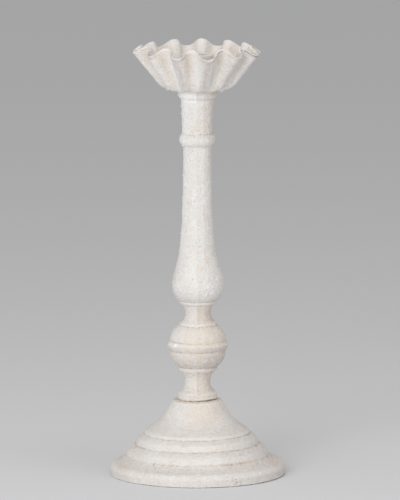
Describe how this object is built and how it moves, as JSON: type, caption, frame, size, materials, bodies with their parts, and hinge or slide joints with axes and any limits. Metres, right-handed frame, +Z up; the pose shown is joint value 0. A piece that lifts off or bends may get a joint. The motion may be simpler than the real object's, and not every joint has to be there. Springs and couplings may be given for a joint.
{
  "type": "candlestick",
  "caption": "Free-standing painted metal candlestick: stepped round base, baluster stem with a banded knop, ruffled flared drip cup round a candle socket.",
  "frame": {"origin": "centre of the base's underside, on the stem's axis, on the surface it stands on", "axes": "+Z up along the stem's axis; -Y towards the viewer the mould line faces; +X to that viewer's right"},
  "size_m": [0.18, 0.18, 0.4443],
  "materials": {
    "painted_iron": "matte",
    "zinc_steel": "satin"
  },
  "bodies": {
    "root": {"base": "painted_iron", "stem": "painted_iron", "drip_cup": "painted_iron", "candle_socket": "painted_iron", "tie_rod": "zinc_steel", "socket_washer": "zinc_steel", "socket_nut": "zinc_steel", "base_washer": "zinc_steel", "spring_washer": "zinc_steel", "base_nut": "zinc_steel"}
  },
  "joints": []
}
